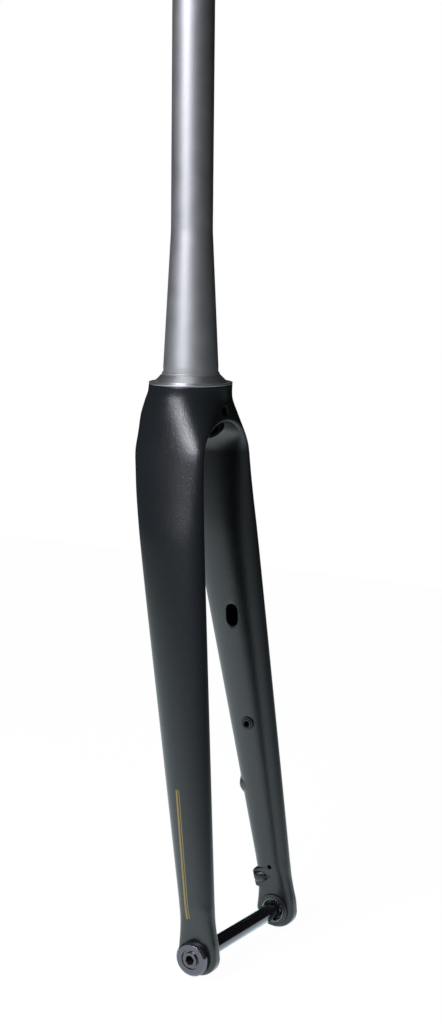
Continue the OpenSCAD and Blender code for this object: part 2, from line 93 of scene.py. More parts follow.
def add(tree, kind, sockets=(), **settings):
    """Adds a node of that kind with its settings. A socket's value is a constant or another node's
    output."""
    node = tree.nodes.new("ShaderNode" + kind)
    for name, value in settings.items():
        setattr(node, name, value)
    for name, value in dict(sockets).items():
        if isinstance(value, bpy.types.NodeSocket):
            tree.links.new(value, node.inputs[name])
        else:
            node.inputs[name].default_value = value
    return node


def sees_backdrop(tree, camera_share, gloss_share):
    """Share of the white backdrop in what a ray meets: one for camera and transmission rays, one for
    glossy rays, and none for the rays that light a surface."""
    path = add(tree, "LightPath")
    clear = add(tree, "Math", {0: path.outputs["Is Camera Ray"], 1: path.outputs["Is Transmission Ray"]},
                operation="MAXIMUM")
    seen = add(tree, "Math", {0: clear.outputs[0], 1: camera_share}, operation="MULTIPLY")
    gloss = add(tree, "Math", {0: path.outputs["Is Glossy Ray"], 1: gloss_share}, operation="MULTIPLY")
    return add(tree, "Math", {0: seen.outputs[0], 1: gloss.outputs[0]}, operation="MAXIMUM").outputs[0]


world = bpy.data.worlds.new("studio")
world.use_nodes = True
sky = world.node_tree
sky.nodes.clear()
# The room is lighter on the fork's right and nearly black on its left
ROOM_DARK, ROOM_LIGHT = 0.005, 0.17
seen_way = add(sky, "VectorMath", {0: add(sky, "TexCoord").outputs["Generated"], 1: (-1.0, 0.0, 0.0)},
               operation="DOT_PRODUCT")
room_level = add(sky, "MapRange", {"Value": seen_way.outputs["Value"], "From Min": -0.9, "From Max": 0.9,
                                   "To Min": ROOM_DARK, "To Max": ROOM_LIGHT})
room_light = add(sky, "Background", {"Color": linear("#c4cacd"), "Strength": room_level.outputs[0]})
white_wall = add(sky, "Background", {"Color": (1, 1, 1, 1), "Strength": 1.0})
shown = add(sky, "MixShader", {0: sees_backdrop(sky, 1.0, 0.01), 1: room_light.outputs[0],
                               2: white_wall.outputs[0]})
add(sky, "OutputWorld", {"Surface": shown.outputs[0]})
bpy.context.scene.world = world

FLOOR_GAP = 0.0005
floor_height = cad_low[2] - FLOOR_GAP
floor_reach = 1.3
floor_mesh = bpy.data.meshes.new("studio_floor")
floor_corners = np.array([(-1, -1), (1, -1), (1, 1), (-1, 1)]) * floor_reach
floor_mesh.from_pydata([(x, y, floor_height) for x, y in floor_corners.tolist()], [], [(0, 1, 2, 3)])
studio_floor = bpy.data.objects.new("studio_floor", floor_mesh)
bpy.context.scene.collection.objects.link(studio_floor)

floor_paint = bpy.data.materials.new("white_table_laminate")
floor_paint.use_nodes = True
paint = floor_paint.node_tree
paint.nodes.clear()
laminate = add(paint, "BsdfDiffuse", {"Color": linear("#f4f4f4")})
# The camera sees mostly the glow, so that the table is white and still keeps a faint shadow. In gloss
# the table has one pool of light, over white, behind the fork on its right.
POOL_PLACE = (-0.25, 0.35, 0.0)
POOL_REACH = 1.15
POOL_BRIGHT, POOL_RIM = 3.4, 0.45
table_place = add(paint, "TexCoord").outputs["Object"]
from_pool = add(paint, "VectorMath", {0: table_place, 1: POOL_PLACE}, operation="DISTANCE")
lit = add(paint, "MapRange", {"Value": from_pool.outputs["Value"], "From Min": 0.0, "From Max": POOL_REACH,
                              "To Min": POOL_BRIGHT, "To Max": POOL_RIM})
in_gloss = add(paint, "LightPath").outputs["Is Glossy Ray"]
level = add(paint, "Mix", {0: in_gloss, 2: 1.03, 3: lit.outputs[0]})
cool = add(paint, "Mix", {0: in_gloss, 6: (1, 1, 1, 1), 7: linear("#e4f2f6")}, data_type="RGBA")
glow = add(paint, "Emission", {"Color": cool.outputs[2], "Strength": level.outputs[0]})
both = add(paint, "MixShader", {0: sees_backdrop(paint, 0.95, 0.95), 1: laminate.outputs[0],
                                2: glow.outputs[0]})
add(paint, "OutputMaterial", {"Surface": both.outputs[0]})
floor_mesh.materials.append(floor_paint)


def soft_box(name, place, target, width, height, power, colour="#ffffff"):
    """A rectangular area light at place, turned to its target. Sizes in metres, power in watts."""
    lamp = bpy.data.lights.new(name, "AREA")
    lamp.shape = "RECTANGLE"
    lamp.size = width
    lamp.size_y = height
    lamp.energy = power
    lamp.color = linear(colour)[:3]
    holder = bpy.data.objects.new(name, lamp)
    aim = Vector(target) - Vector(place)
    holder.location = place
    holder.rotation_euler = aim.to_track_quat("-Z", "Y").to_euler()
    bpy.context.scene.collection.objects.link(holder)


soft_box("key_soft_box", (-1.33, 0.10, 0.68), (0, 0, 0.02), 0.74, 0.36, 24, "#f4f4ff")
soft_box("top_soft_box", (-0.3, 0.3, 1.8), (0, 0, 0), 1.0, 1.0, 4)

# Fork body
# Crown, two hollow blades and two tips, moulded in one piece of carbon composite and sprayed with
# satin black paint. The skin is a loft of squared ovals; its bores and hollows are cut from it.
MM = 0.001
insert_low, insert_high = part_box("left_axle_insert")
axle_drop = -(insert_low.z + insert_high.z) / 2 / MM
rake = -(insert_low.y + insert_high.y) / 2 / MM
tip_out = insert_high.x / MM
tip_w = 9.7
hub_side = tip_out - tip_w
crown_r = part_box("crown_race")[1].x / MM
tip_r = 15.4
tip_end = 13.6
tip_fwd = 0.6
arch_r = 24.4
arch_lip = 7
arch_top_drop = 25.8
arch_centre_drop = arch_top_drop + arch_r
# Blades: place below the origin, outer side, width, depth and place in front, at the top and low end
blade_top_drop = 109
blade_top_out = 46.3
blade_top_w = 20.1
blade_top_depth = 50.5
blade_top_fwd = 8.6
blade_end_drop = axle_drop - 38
blade_end_out = tip_out + 1.2
blade_end_w = 15
blade_end_depth = 26.8
blade_end_fwd = rake - 2.7
shoulder_drop = (arch_centre_drop + blade_top_drop) / 2 - 5
blade_mid_drop = (blade_top_drop + blade_end_drop) / 2
# Sections by drop: drop, outer half width, half depth, centre in front
outer_rows = np.array([
    [0, crown_r, crown_r, 0],
    [5.5, crown_r + 0.5, crown_r - 0.1, -0.5],
    [11, crown_r + 1.7, crown_r + 0.2, -1.3],
    [21, crown_r + 3.5, crown_r + 0.3, -0.8],
    [35, crown_r + 5.7, crown_r - 0.6, 1.2],
    [arch_centre_drop + 1, crown_r + 8.4, crown_r - 1.5, 2.3],
    [shoulder_drop, blade_top_out - 5.1, blade_top_depth / 2 + 1.5, blade_top_fwd - 4.3],
    [blade_top_drop, blade_top_out, blade_top_depth / 2, blade_top_fwd],
    [blade_mid_drop, (blade_top_out + blade_end_out) / 2 + 0.2, (blade_top_depth + blade_end_depth) / 4,
     (blade_top_fwd + blade_end_fwd) / 2],
    [blade_end_drop, blade_end_out, blade_end_depth / 2, blade_end_fwd],
    [axle_drop - 27, tip_out + 0.6, blade_end_depth / 2 - 0.5, rake - 1.3],
    [axle_drop - 17, tip_out + 0.1, blade_end_depth / 2 + 0.2, rake - 0.2],
    [axle_drop - 8, tip_out, tip_r - 0.7, rake + tip_fwd],
    [axle_drop, tip_out, tip_r, rake + tip_fwd],
])
blade_top_in = blade_top_out - blade_top_w
blade_end_in = blade_end_out - blade_end_w
inner_rows = np.array([
    [arch_centre_drop, arch_r],
    [shoulder_drop, arch_r + 0.5],
    [blade_top_drop, blade_top_in],
    [blade_mid_drop, (blade_top_in + blade_end_in) / 2],
    [blade_end_drop, blade_end_in],
    [axle_drop - 27, hub_side - 2.2],
    [axle_drop - 17, hub_side - 0.7],
    [axle_drop - 8, hub_side],
    [axle_drop, hub_side],
])
# Exponent of the oval by drop: 2 is an ellipse, and more is squarer
square_drops = [0, 20, blade_top_drop, blade_mid_drop, blade_end_drop, axle_drop - 17, axle_drop]
squares = [2, 2.05, 2.0, 2.15, 2.3, 3.6, 5]
ridge_share = 0.48


def smooth(rows, drop, column=1):
    """Smooth curve through one column of rows. Between two rows it is a cubic, and its slope at a row
    is the rise from the row before to the row after."""
    x, y = rows[:, 0], rows[:, column]
    slope = np.empty_like(y)
    slope[1:-1] = (y[2:] - y[:-2]) / (x[2:] - x[:-2])
    slope[[0, -1]] = (y[1] - y[0]) / (x[1] - x[0]), (y[-1] - y[-2]) / (x[-1] - x[-2])
    i = np.clip(np.searchsorted(x, drop, side="right") - 1, 0, len(x) - 2)
    h = x[i + 1] - x[i]
    t = np.clip((drop - x[i]) / h, 0, 1)
    start = (2 * t**3 - 3 * t**2 + 1) * y[i] + (t**3 - 2 * t**2 + t) * h * slope[i]
    return start + (3 * t**2 - 2 * t**3) * y[i + 1] + (t**3 - t**2) * h * slope[i + 1]


def square_at(drop):
    return np.interp(drop, square_drops, squares)


def ridge_at(drop):
    """Distance of a blade's front and rear ridge from the centre plane."""
    inner = smooth(inner_rows, drop)
    return inner + ridge_share * (smooth(outer_rows, drop) - inner)


# Half width of the flat between the two legs' ridges, which grows from nothing at the round top
leg_lip = float(ridge_at(arch_centre_drop)) - arch_r
flat_rows = np.array([
    [0, 0], [5.5, 0.4], [11, 3], [21, 12.4], [35, arch_r - 0.6], [43, arch_r + leg_lip - 1.9],
    [arch_centre_drop, arch_r + leg_lip], [arch_centre_drop + 8, float(ridge_at(arch_centre_drop + 8))],
])


def depth_at(x, drop):
    """Half depth of a section at a distance x from the centre plane: full over the flat, then a squared
    oval."""
    flat = np.where(drop < arch_centre_drop, smooth(flat_rows, drop), ridge_at(drop))
    n = square_at(drop)
    u = np.clip((x - flat) / (smooth(outer_rows, drop) - flat), 0, 1)
    return smooth(outer_rows, drop, 2) * (1 - u**n) ** (1 / n)


def squared_oval(angle, n):
    """Unit point at an angle on the curve where x to the power n and y to the power n add up to 1."""
    c, s = np.cos(angle), np.sin(angle)
    reach = (np.abs(c)**n + np.abs(s)**n) ** (-1 / n)
    return c * reach, s * reach


def outer_side(drop, ridge, steps):
    """Outer side of the sections, each from its front ridge round to its rear ridge."""
    x, y = squared_oval(np.linspace(-np.pi / 2, np.pi / 2, steps + 1)[None, :], square_at(drop))
    x = ridge + (smooth(outer_rows, drop) - ridge) * np.abs(x)
    return np.stack([x, np.sign(y) * depth_at(x, drop) - smooth(outer_rows, drop, 3), -drop + 0 * x], -1)


def inner_side(lean, start_x, start_drop, lip, n, steps):
    """Inner side of the sections, from the rear ridge to the front ridge without those two ends. It
    stands upright on a blade, where lean is 0, and lies under the arch's top, where lean is 90 degrees."""
    x, y = squared_oval(np.linspace(np.pi / 2, -np.pi / 2, steps + 1)[None, 1:-1], n)
    off = lip * (1 - np.abs(x))
    x = start_x + off * np.cos(lean)
    drop = start_drop - off * np.sin(lean)
    return np.stack([x, depth_at(x, drop) * y - smooth(outer_rows, drop, 3), -drop], -1)


OUTER_STEPS = 84
INNER_STEPS = 60


def arch_loops(lean):
    """Sections that lean round the arch's centre, from the centre plane at 90 degrees to a blade's top
    at 0."""
    lip = leg_lip + (arch_lip - leg_lip) * np.sin(lean)
    drop = arch_centre_drop - (arch_r + lip) * np.sin(lean)
    n = square_at(drop)
    n = n + (8 - n) * np.sin(lean)**4
    start_drop = arch_centre_drop - arch_r * np.sin(lean)
    inside = inner_side(lean, arch_r * np.cos(lean), start_drop, lip, n, INNER_STEPS)
    return np.concatenate([outer_side(drop, (arch_r + lip) * np.cos(lean), OUTER_STEPS), inside], 1)


def blade_loops(drop):
    """Level sections of a blade or a tip."""
    inner = smooth(inner_rows, drop)
    inside = inner_side(0 * drop, inner, drop, ridge_at(drop) - inner, square_at(drop), INNER_STEPS)
    return np.concatenate([outer_side(drop, ridge_at(drop), OUTER_STEPS), inside], 1)


def end_loops(angle):
    """Level sections of a tip's round end, by the angle below the axle. They draw in as the end closes."""
    pull = 2.2 * np.sin(angle)**6
    inner, outer = hub_side + pull, tip_out - pull
    mid = inner + ridge_share * (tip_out - 2 * pull - hub_side)
    turn = np.concatenate([np.linspace(-np.pi / 2, np.pi / 2, OUTER_STEPS + 1),
                           np.linspace(np.pi / 2, -np.pi / 2, INNER_STEPS + 1)[1:-1]])[None, :]
    x, y = squared_oval(turn, 5)
    half = np.where(np.arange(turn.size) <= OUTER_STEPS, outer - mid, inner - mid)
    y = y * tip_r * np.cos(angle) - rake - tip_fwd
    return np.stack([mid + half * np.abs(x), y, -axle_drop - tip_end * np.sin(angle) + 0 * x], -1)


def quads(rows, columns, closed, start=0):
    """Faces of a grid of points, row by row. A closed grid joins its last column to its first."""
    j, i = np.meshgrid(np.arange(rows - 1), np.arange(columns if closed else columns - 1), indexing="ij")
    a = (start + j * columns + i).ravel()
    b = (start + j * columns + (i + 1) % columns).ravel()
    return np.stack([a, b, b + columns, a + columns], 1)


def build(name, grids, sharp=35):
    """Makes one smooth-shaded object of several grids of points in mm. Each grid is (points, closed).
    Points that meet are joined, faces are turned outwards, and edges over the sharp angle stay crisp."""
    points, faces, start = [], [], 0
    for grid, closed in grids:
        points.append(grid.reshape(-1, 3))
        faces.append(quads(grid.shape[0], grid.shape[1], closed, start))
        start += grid.shape[0] * grid.shape[1]
    mesh = bpy.data.meshes.new(name)
    mesh.from_pydata((np.concatenate(points) * MM).tolist(), [], np.concatenate(faces).tolist())
    return finished(name, mesh, sharp)


def finished(name, mesh, sharp):
    """Joins double points, drops flat faces, turns the rest outwards and shades the mesh smooth."""
    work = bmesh.new()
    work.from_mesh(mesh)
    bmesh.ops.remove_doubles(work, verts=work.verts, dist=2e-6)
    bmesh.ops.dissolve_degenerate(work, edges=work.edges, dist=1e-7)
    bmesh.ops.recalc_face_normals(work, faces=work.faces)
    work.to_mesh(mesh)
    work.free()
    mesh.shade_smooth()
    mesh.set_sharp_from_angle(angle=math.radians(sharp))
    piece = bpy.data.objects.new(name, mesh)
    bpy.context.scene.collection.objects.link(piece)
    return piece


# Skin: the crown's rings above the arch, then each leg from the arch's top to its closed end
crown_top_drop = arch_centre_drop - arch_r - arch_lip
TOP_ROUND = 0.8
round_turn = np.linspace(0, np.pi / 2, 7)
crown_drops = np.concatenate([TOP_ROUND * (1 - np.cos(round_turn)),
                              np.linspace(TOP_ROUND, crown_top_drop, 25)[1:]])
crown_inset = np.concatenate([TOP_ROUND * (1 - np.sin(round_turn)), np.zeros(24)])
crown_half = outer_side(crown_drops[:, None], 0 * crown_drops[:, None], OUTER_STEPS)
crown_half[..., :2] *= (1 - crown_inset / crown_r)[:, None, None]
crown_lid = np.concatenate([0 * crown_half[:1], crown_half[:1]])


def leg_loops(stops, spacings):
    """Sections of one leg from the arch's top to the tip's closed end. Between two stops, the level
    sections keep about one spacing."""
    lean = np.radians(np.linspace(90, 0, 61))[:, None]
    drops = [np.linspace(a, b, int((b - a) / gap) + 2)[1:] for a, b, gap in zip(stops, stops[1:], spacings)]
    end_angle = np.radians(90 * (1 - (1 - np.linspace(0, 1, 21)[1:])**1.4))[:, None]
    blade = blade_loops(np.concatenate(drops)[:, None])
    return np.concatenate([arch_loops(lean), blade, end_loops(end_angle)])


# Brake pads on the rear of the left blade. Their common face leans forwards at its foot, square to
# the two bolts, and the lower pad runs on a little below its bolt.
brake_lean = math.radians(9.2)
brake_axis = np.array([0, math.cos(brake_lean), -math.sin(brake_lean)])
brake_drop = 296
brake_fwd = 17.2
BOLT_SPACING = 70
brake_x = float(ridge_at(brake_drop) + ridge_at(brake_drop + BOLT_SPACING)) / 2 - 0.6
brake_points = [np.array([brake_x, -brake_fwd - along * math.sin(brake_lean),
                          -brake_drop - along * math.cos(brake_lean)]) for along in (0, BOLT_SPACING)]
PAD_FLAT_R = 6.2
PAD_FALL = 1.4
PAD_BLEND = 2.6
PAD_REACH = 15
PAD_LOWS = (0.0, 1.2)


def with_pads(points):
    """Raises both pads from the skin. Heights are measured along the bolts from the pads' face. A pad is
    flat over its middle and falls off by the square of the distance beyond, and the skin takes a soft
    maximum of its own height and the pad's."""
    down_axis = np.array([0, brake_axis[2], -brake_axis[1]])
    for centre, low in zip(brake_points, PAD_LOWS):
        off = points - centre
        height = off @ brake_axis
        reach = np.hypot(off[..., 0], off @ down_axis - low)
        pad = -PAD_FALL * np.maximum(reach - PAD_FLAT_R, 0)**2
        part = np.clip(0.5 + (pad - height) / (2 * PAD_BLEND), 0, 1)
        soft = height + part * (pad - height) + PAD_BLEND * part * (1 - part) * np.clip(-pad, 0, 1)
        lift = np.where(height > -PAD_REACH, np.minimum(soft, 0) - height, 0)
        points = points + np.maximum(lift, 0)[..., None] * brake_axis
    return points


# Spacing of the sections: wide on the blades, middling on the tips and close over the pads
BLADE_GAP, TIP_GAP, PAD_GAP = 3.3, 1.5, 0.4
pad_stops = [283, 310, blade_end_drop, 384]
left_stops = [arch_centre_drop, *pad_stops, axle_drop]
left_leg = with_pads(leg_loops(left_stops, [BLADE_GAP, PAD_GAP, BLADE_GAP, PAD_GAP, TIP_GAP]))
right_leg = leg_loops([arch_centre_drop, blade_end_drop, axle_drop], [BLADE_GAP, TIP_GAP])
mirrored = np.array([-1, 1, 1])
skin = build("fork_body_paint", [(half * side, closed) for side, leg in ((1, left_leg), (mirrored, right_leg))
                                 for half, closed in ((crown_lid, False), (crown_half, False), (leg, True))])


def round_axis(radius, along, origin, axis):
    """Points of a turned grid, from its radii and distances along an axis through origin. Each row of the
    grid is one turn round the axis."""
    axis = Vector(axis).normalized()
    side = axis.orthogonal().normalized()
    turn = np.linspace(0, 2 * np.pi, radius.shape[1], endpoint=False)[:, None]
    spokes = np.cos(turn) * np.array(side) + np.sin(turn) * np.array(axis.cross(side))
    return np.array(origin) + radius[..., None] * spokes + along[..., None] * np.array(axis)


def turned(outline, origin, axis, steps=96):
    """Carries an outline of (radius, distance) points round an axis through origin, as one grid."""
    radius, along = np.array(outline, float).T[:, :, None].repeat(steps, 2)
    return round_axis(radius, along, origin, axis), True


def combine(piece, name, grids, operation):
    """Joins the closed shapes of the grids to the piece, or takes them away, and keeps the result."""
    tool = build(name, grids)
    change = piece.modifiers.new(name, "BOOLEAN")
    change.operation = operation
    change.solver = "MANIFOLD"
    change.object = tool
    result = bpy.data.meshes.new_from_object(piece.evaluated_get(bpy.context.evaluated_depsgraph_get()))
    piece.modifiers.remove(change)
    piece.data = result
    bpy.data.objects.remove(tool)


def cut_through(piece, name, grids):
    combine(piece, name, grids, "DIFFERENCE")


# Round bars behind the pads hold the bolts' bushes, and the lower one bulges from the blade's inner face
BAR_R, BAR_LEN, BAR_SHOULDER, BAR_FACE = 5.6, 11.8, -2.2, -1.2
bar_turn = np.linspace(0, np.pi / 2, 12)
bar_outline = [(BAR_R * math.sin(t), BAR_SHOULDER - BAR_LEN * math.cos(t)) for t in bar_turn]
bar_outline += [(5.0, BAR_FACE), (0, BAR_FACE)]
combine(skin, "brake_bars", [turned(bar_outline, point, brake_axis, 64) for point in brake_points], "UNION")

# Hollows: a round room under the crown and one long room in each blade
steerer_low, steerer_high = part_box("steerer")
socket_depth = -steerer_low.z / MM
foot_r = 19.05
neck_r = foot_r - 3
hollow_r = 23.6
room_side_drop = 26.8
# What is bonded or pressed in leaves this gap to its hole all round
GLUE_GAP = 0.04
room_turn = np.linspace(0, math.pi / 2, 13)
room_outline = [(0, 1 - socket_depth), (neck_r, 1 - socket_depth), (neck_r, -socket_depth - 1.5)]
room_outline += [(neck_r + (hollow_r - neck_r) * math.sin(a),
                  -room_side_drop + (room_side_drop - socket_depth - 1.5) * math.cos(a)) for a in room_turn]
room_outline += [(hollow_r - inset, -room_side_drop - low) for inset, low in ((0, 6), (1.4, 14), (9, 27))]
room_outline += [(0, -room_side_drop - 27)]
cut_through(skin, "crown_hollow", [turned(room_outline, (0, 0, 0), (0, 0, 1))])
socket_outline = [(0, -socket_depth), (foot_r + GLUE_GAP, -socket_depth), (foot_r + GLUE_GAP, 2), (0, 2)]
cut_through(skin, "steerer_socket", [turned(socket_outline, (0, 0, 0), (0, 0, 1))])

wall = 2.6
room_drops = [arch_centre_drop + 4, shoulder_drop, blade_top_drop, (blade_top_drop + blade_mid_drop) / 2,
              blade_mid_drop, (blade_mid_drop + blade_end_drop) / 2, blade_end_drop - 8]
room_rows = [[29.8, hollow_r - 4, hollow_r, 7], [33.8, hollow_r - 3.5, hollow_r + 4, 12],
             [41.8, hollow_r + 1.2, hollow_r + 6.6, 17]]
room_rows += [[d, smooth(inner_rows, d) + wall, smooth(outer_rows, d) - wall,
               smooth(outer_rows, d, 2) - wall - 0.6] for d in room_drops]
foot = axle_drop - 30
room_rows += [[foot, smooth(inner_rows, foot) + wall, smooth(outer_rows, foot) - wall - 1.5,
               smooth(outer_rows, foot, 2) - 5]]
room_rows = np.array(room_rows, float)


def blade_room(side):
    """The room in a blade: squared ovals between its inner and outer wall, closed to a line at both ends."""
    drop = np.concatenate([room_rows[:1, 0], np.linspace(29.8, foot, 90), [foot]])[:, None]
    x, y = squared_oval(np.linspace(0, 2 * np.pi, 48, endpoint=False)[None, :], 2.3)
    inner, outer, half = (smooth(room_rows, drop, c) for c in (1, 2, 3))
    half[[0, -1]] = 0
    x = (inner + outer) / 2 + (outer - inner) / 2 * x
    return np.stack([side * x, half * y - smooth(outer_rows, drop, 3), -drop + 0 * x], -1), True


for side in (1, -1):
    cut_through(skin, "blade_room", [blade_room(side)])

# Openings: each cutter follows the wall's surface and flares at its mouth, as a drilled and deburred
# opening does. Depth is measured into the wall.
MOUTH = np.array([(-4, 0.75), (0, 0.75), (0.12, 0.42), (0.35, 0.15), (0.7, 0), (9, 0)])


def oval_outline(width, height, spread, steps=16):
    """Outline of an upright slot with round ends, spread outwards: across and up, as two arrays."""
    turn = np.concatenate([np.linspace(0, np.pi, steps), np.linspace(np.pi, 2 * np.pi, steps)])
    lift = np.where(np.arange(2 * steps) < steps, 1, -1) * (height - width) / 2
    return (width / 2 + spread) * np.cos(turn), (width / 2 + spread) * np.sin(turn) + lift


def opening(width, height, drop, fwd, face, flare=1.0, deepest=9):
    """A slot's cutter in the left blade. face is inner for one that goes in along +X, or rear for -Y."""
    rows = []
    for depth, spread in MOUTH:
        across, up = oval_outline(width, height, spread * flare)
        depth = min(depth, deepest)
        at = drop - up
        if face == "inner":
            rows.append(np.stack([smooth(inner_rows, at) + depth, across - fwd, -at], -1))
        else:
            surface = smooth(outer_rows, drop, 2) - smooth(outer_rows, at, 3)
            rows.append(np.stack([ridge_at(drop) + across, surface - depth, -at], -1))
    ends = [row.mean(0, keepdims=True).repeat(len(across), 0) for row in (rows[0], rows[-1])]
    return np.stack([ends[0], *rows, ends[1]]), True


port = opening(width=9.4, height=16, drop=166.8, fwd=16.8, face="inner")
hose_exit = opening(width=7, height=15, drop=258, fwd=0, face="rear", deepest=7)
wire_hole = opening(width=3, height=3.02, drop=355.6, fwd=42, face="inner", flare=0.5, deepest=5)
cut_through(skin, "side_openings", [port, hose_exit, wire_hole])


def hole(radius, depth, rim=0.35):
    """Outline of a drilled hole of that depth below distance 0, with a small countersunk rim."""
    return [(0, -depth), (radius, -depth), (radius, -rim), (radius + rim, 0), (radius + rim, 8), (0, 8)]


# Bores for the bonded bushes: brake bolts, hose clip, mudguard holes and the wheel axle
BRAKE_BUSH_R = 4
CLIP_BUSH_R = 3.4
SLEEVE_R = 4.3
clip_drop = 246.8
clip_lean = math.atan(float(smooth(inner_rows, clip_drop + 5) - smooth(inner_rows, clip_drop - 5)) / 10)
clip_point = np.array([float(smooth(inner_rows, clip_drop)) - 0.1, -float(smooth(outer_rows, clip_drop, 3)),
                       -clip_drop])
clip_axis = np.array([-math.cos(clip_lean), 0, -math.sin(clip_lean)])
insert_holes = [turned(hole(BRAKE_BUSH_R + GLUE_GAP, 10.5), point, brake_axis, 48) for point in brake_points]
clip_hole = [(0, -10), (CLIP_BUSH_R + GLUE_GAP, -10), (CLIP_BUSH_R + GLUE_GAP, 4), (0, 4)]
insert_holes.append(turned(clip_hole, clip_point, clip_axis, 48))
cut_through(skin, "insert_holes", insert_holes)
sleeve_drop = 17.4
sleeve_hole = [(0, 14), (SLEEVE_R + GLUE_GAP, 14), (SLEEVE_R + GLUE_GAP, 44), (0, 44)]
cut_through(skin, "sleeve_holes", [turned(sleeve_hole, (0, 0, -sleeve_drop), (0, s, 0), 48) for s in (1, -1)])
FLANGE_R = 11.9
BARREL_R = 8.5
flange_hole_r = FLANGE_R + GLUE_GAP
barrel_hole_r = BARREL_R + GLUE_GAP
tip_hole = [(0, hub_side - 5), (flange_hole_r, hub_side - 5), (flange_hole_r, hub_side + 1.5),
            (barrel_hole_r, hub_side + 1.5), (barrel_hole_r, tip_out + 4), (0, tip_out + 4)]
axle_place = (0, -rake, -axle_drop)
cut_through(skin, "tip_holes", [turned(tip_hole, axle_place, (s, 0, 0)) for s in (1, -1)])
skin.data.shade_smooth()
skin.data.set_sharp_from_angle(angle=math.radians(35))


def dressed(piece, material, slot, *replaced):
    """Gives the piece its material and its body, and hides the CAD nodes that it stands for. The slot is not
    used.
    """
    piece.data.materials.clear()
    piece.data.materials.append(material)
    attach(piece, "root")
    if replaced:
        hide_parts(*replaced)


def new_material(name):
    """A material with its node tree, its shader and the piece's own coordinates in metres."""
    material = bpy.data.materials.new(name)
    material.use_nodes = True
    tree = material.node_tree
    return material, tree, tree.nodes["Principled BSDF"], add(tree, "TexCoord").outputs["Object"]


# Satin black two-pack paint: nearly black, with a broad soft sheen and the faint ripple of a spray coat
satin_paint, tree, shader, place = new_material("satin_black_spray_paint")
shader.inputs["IOR"].default_value = 1.5
# Slow drift of the pigment, about 60 mm wide
drift = add(tree, "TexNoise", {"Vector": place, "Scale": 16.0, "Detail": 2.0})
tone = add(tree, "Mix", {0: drift.outputs["Fac"], 6: linear("#131719"), 7: linear("#191d20")},
           data_type="RGBA")
# Two gold pinstripes down the outer side of each blade, a broad one and a fine one in front of it
STRIPE_TOP_DROP, STRIPE_FOOT_DROP = 272, 362
stripe_fwd = smooth(outer_rows, np.array([STRIPE_TOP_DROP, STRIPE_FOOT_DROP]), 3)
stripe_mid = (0, -stripe_fwd.mean() * MM, -(STRIPE_TOP_DROP + STRIPE_FOOT_DROP) / 2 * MM)
stripe_tilt = math.atan((stripe_fwd[1] - stripe_fwd[0]) / (STRIPE_FOOT_DROP - STRIPE_TOP_DROP))
level = add(tree, "Mapping", {"Vector": place, "Location": stripe_mid, "Rotation": (-stripe_tilt, 0, 0)},
            vector_type="TEXTURE")
turned_place = add(tree, "SeparateXYZ", {0: level.outputs[0]})


def within(tree, value, middle, half_width, soft):
    """1 where a value is inside the band about middle, fading to 0 over the soft width at both ends."""
    off = add(tree, "Math", {0: value, 1: middle}, operation="SUBTRACT")
    far = add(tree, "Math", {0: off.outputs[0]}, operation="ABSOLUTE")
    return add(tree, "MapRange", {"Value": far.outputs[0], "From Min": half_width + soft,
                                  "From Max": half_width - soft, "To Min": 0.0, "To Max": 1.0}).outputs[0]


half_length = (STRIPE_FOOT_DROP - STRIPE_TOP_DROP) / 2 * MM
long_enough = within(tree, turned_place.outputs["Z"], 0.0, half_length, 0.0004)
outside = add(tree, "Math", {0: turned_place.outputs["X"]}, operation="ABSOLUTE")
outer_half = float(ridge_at(STRIPE_FOOT_DROP)) * MM
outside = add(tree, "Math", {0: outside.outputs[0], 1: outer_half}, operation="GREATER_THAN")
BROAD_AT, BROAD_HALF = 0.0047, 0.0007
FINE_AT, FINE_HALF = 0.0027, 0.0003
STRIPE_SOFT = 0.0001
broad = within(tree, turned_place.outputs["Y"], BROAD_AT, BROAD_HALF, STRIPE_SOFT)
fine = within(tree, turned_place.outputs["Y"], FINE_AT, FINE_HALF, STRIPE_SOFT)
either = add(tree, "Math", {0: broad, 1: fine}, operation="MAXIMUM")
stripe = add(tree, "Math", {0: either.outputs[0], 1: long_enough}, operation="MULTIPLY")
stripe = add(tree, "Math", {0: stripe.outputs[0], 1: outside.outputs[0]}, operation="MULTIPLY")
coloured = add(tree, "Mix", {0: stripe.outputs[0], 6: tone.outputs[2], 7: linear("#85713f")},
               data_type="RGBA")
tree.links.new(coloured.outputs[2], shader.inputs["Base Color"])
leafed = add(tree, "Math", {0: stripe.outputs[0], 1: 0.5}, operation="MULTIPLY")
tree.links.new(leafed.outputs[0], shader.inputs["Metallic"])
# Spray ripple of about 0.9 mm, and flatting powder of about 0.2 mm that scatters the sheen
ripple = add(tree, "TexNoise", {"Vector": place, "Scale": 1100.0, "Detail": 1.0})
powder = add(tree, "TexNoise", {"Vector": place, "Scale": 5500.0, "Detail": 0.0})
sheen = add(tree, "MapRange", {"Value": powder.outputs["Fac"], "To Min": 0.25, "To Max": 0.32})
tree.links.new(sheen.outputs[0], shader.inputs["Roughness"])
ripples = add(tree, "Bump", {"Height": ripple.outputs["Fac"], "Strength": 0.6, "Distance": 0.0002})
tree.links.new(ripples.outputs[0], shader.inputs["Normal"])
dressed(skin, satin_paint, "fork_body", "fork_body")

# Steerer
# Drawn and butted aluminium tube, turned at its foot and bonded in the crown, then fine blasted so
# that the stem grips. It ends in a small chamfer, cut to length only when the bicycle is built.
steerer_r = 14.3
bore_r = 12
RACE_SEAT_R = 19.9
steerer_len = steerer_high.z / MM
taper_top = 104


